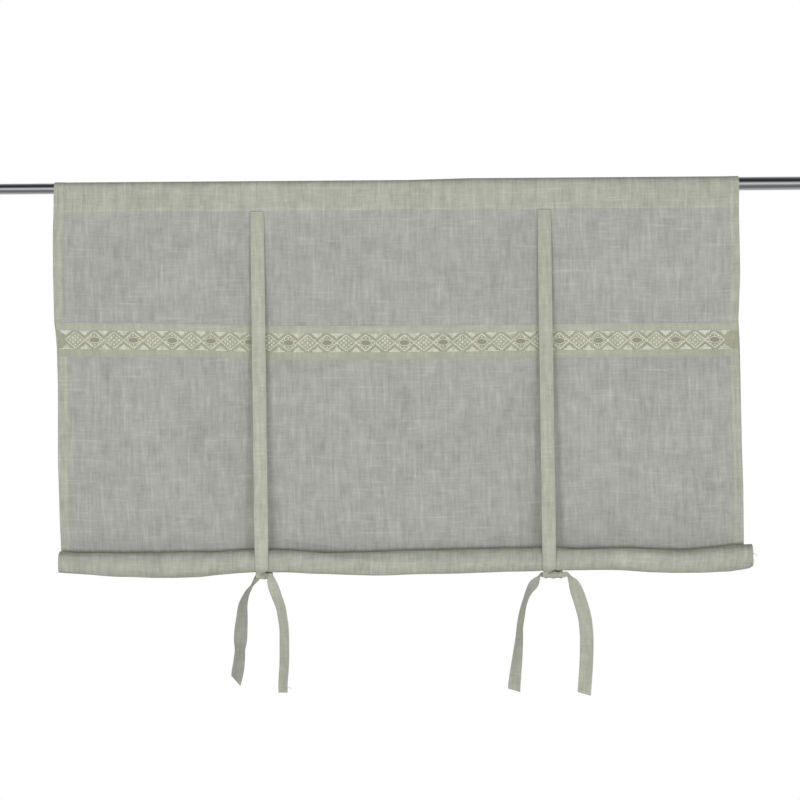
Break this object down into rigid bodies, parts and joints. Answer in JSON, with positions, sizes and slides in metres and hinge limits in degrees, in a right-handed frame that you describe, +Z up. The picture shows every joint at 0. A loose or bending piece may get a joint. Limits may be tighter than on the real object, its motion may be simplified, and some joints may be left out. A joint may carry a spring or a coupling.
{
  "type": "tie-up curtain",
  "caption": "Short linen-look curtain with a band of lace, rolled up from below and held by tapes tied in half-knots under the roll, hanging by its pocket on a telescopic rod.",
  "frame": {"origin": "on the rod's axis, at the middle of the curtain's top edge", "axes": "+X along the rod towards its thick end, +Z up, -Y is the side that shows the roll and the front ties"},
  "size_m": [1.209, 0.0416, 0.7558],
  "materials": {
    "chrome": "polished",
    "steel": "polished",
    "plug_plastic": "matte",
    "cloth": "woven",
    "lace_thread": "lace",
    "tie_tape": "woven"
  },
  "bodies": {
    "curtain_and_outer_tube": {"rod_outer_tube": "chrome", "rod_end_plug_right": "plug_plastic", "curtain_cloth": "cloth", "lace_band": "lace_thread", "front_tie_left": "tie_tape", "front_tie_right": "tie_tape", "back_tie_left": "tie_tape", "back_tie_right": "tie_tape"},
    "inner_tube": {"rod_inner_tube": "steel", "rod_end_plug_left": "plug_plastic"}
  },
  "joints": [
    {"name": "rod_telescope", "type": "slide", "parent": "curtain_and_outer_tube", "child": "inner_tube", "axis": [1, 0, 0], "range_m": [-0.14, 0.09]}
  ]
}
